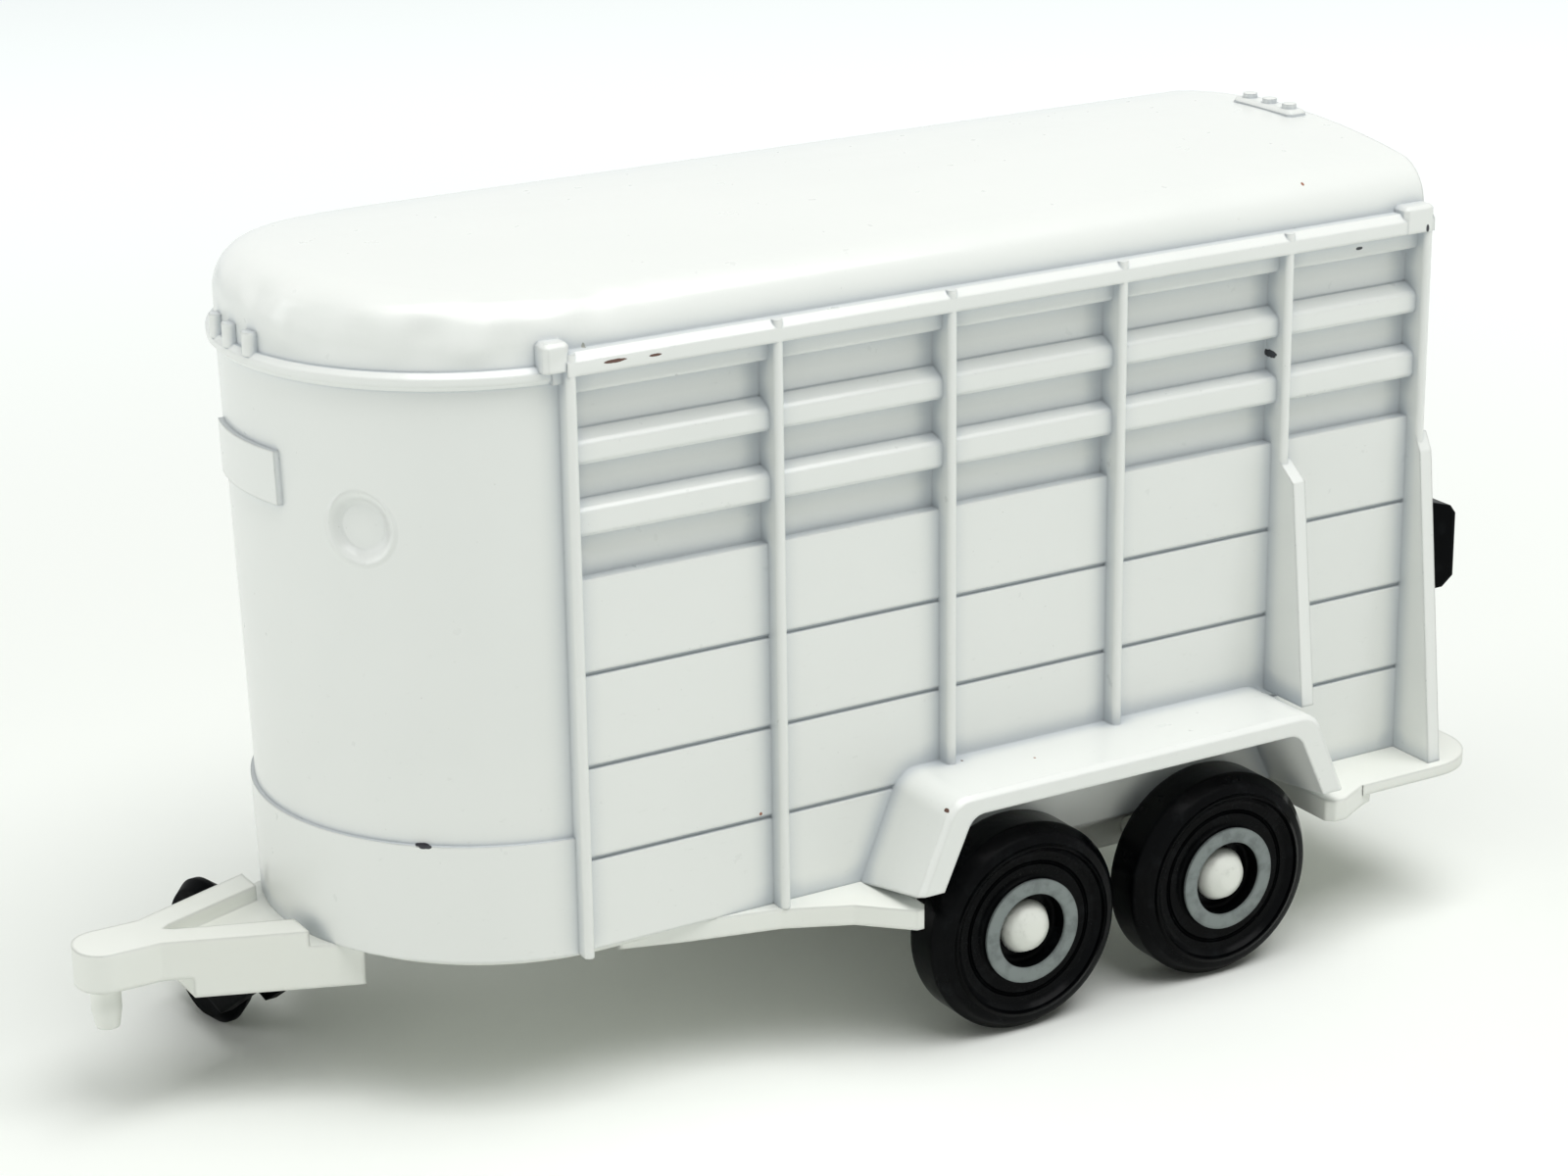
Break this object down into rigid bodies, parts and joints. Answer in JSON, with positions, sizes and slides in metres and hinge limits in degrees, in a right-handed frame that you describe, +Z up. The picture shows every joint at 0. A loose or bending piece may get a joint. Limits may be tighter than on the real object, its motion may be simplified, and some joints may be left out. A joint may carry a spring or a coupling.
{
  "type": "toy cattle trailer",
  "caption": "Toy livestock trailer: hollow cast body with ribbed slatted sides and domed roof, moulded base with drawbar and hitch peg, road wheels, support wheel and rear door.",
  "frame": {"origin": "on the ground, under the middle of the trailer's length and width", "axes": "+X forward along the drawbar, +Y to the trailer's left, +Z up"},
  "size_m": [0.0956, 0.0428, 0.0541],
  "materials": {
    "white_enamel": "gloss white enamel, chipped and dusty",
    "white_plastic": "satin white moulding",
    "black_plastic": "satin black moulding",
    "wheel_plastic": "satin black moulding with a grey painted rim ring",
    "axle_metal": "white paint on steel, domed heads"
  },
  "bodies": {
    "trailer": {"body_casting": "white_enamel", "base_moulding": "white_plastic", "axle_front": "axle_metal", "axle_rear": "axle_metal"},
    "wheel_front_left": {"road_wheel_front_left": "wheel_plastic"},
    "wheel_front_right": {"road_wheel_front_right": "wheel_plastic"},
    "wheel_rear_left": {"road_wheel_rear_left": "wheel_plastic"},
    "wheel_rear_right": {"road_wheel_rear_right": "wheel_plastic"},
    "support_fork": {"jockey_fork": "black_plastic"},
    "support_wheel": {"jockey_wheel": "black_plastic"},
    "rear_door_leaf": {"rear_door": "black_plastic"}
  },
  "joints": [
    {"name": "front_left_wheel_spin", "type": "hinge", "parent": "trailer", "child": "wheel_front_left", "pos_m": [-0.0092, 0.0183, 0.0071], "axis": [0, 1, 0], "continuous": true},
    {"name": "front_right_wheel_spin", "type": "hinge", "parent": "trailer", "child": "wheel_front_right", "pos_m": [-0.0092, -0.0183, 0.0071], "axis": [0, 1, 0], "continuous": true},
    {"name": "rear_left_wheel_spin", "type": "hinge", "parent": "trailer", "child": "wheel_rear_left", "pos_m": [-0.0249, 0.0183, 0.0071], "axis": [0, 1, 0], "continuous": true},
    {"name": "rear_right_wheel_spin", "type": "hinge", "parent": "trailer", "child": "wheel_rear_right", "pos_m": [-0.0249, -0.0183, 0.0071], "axis": [0, 1, 0], "continuous": true},
    {"name": "support_swivel", "type": "hinge", "parent": "trailer", "child": "support_fork", "pos_m": [0.03424, -0.00062, 0.0085], "axis": [0, 0, 1], "range_deg": [-8, 40]},
    {"name": "support_wheel_spin", "type": "hinge", "parent": "support_fork", "child": "support_wheel", "pos_m": [0.0349, -0.0101, 0.00486], "axis": [-0.9976, -0.0698, 0], "continuous": true},
    {"name": "rear_door_hinge", "type": "hinge", "parent": "trailer", "child": "rear_door_leaf", "pos_m": [-0.04308, -0.0123, 0.03], "axis": [0, 0, 1], "range_deg": [0, 95]}
  ]
}
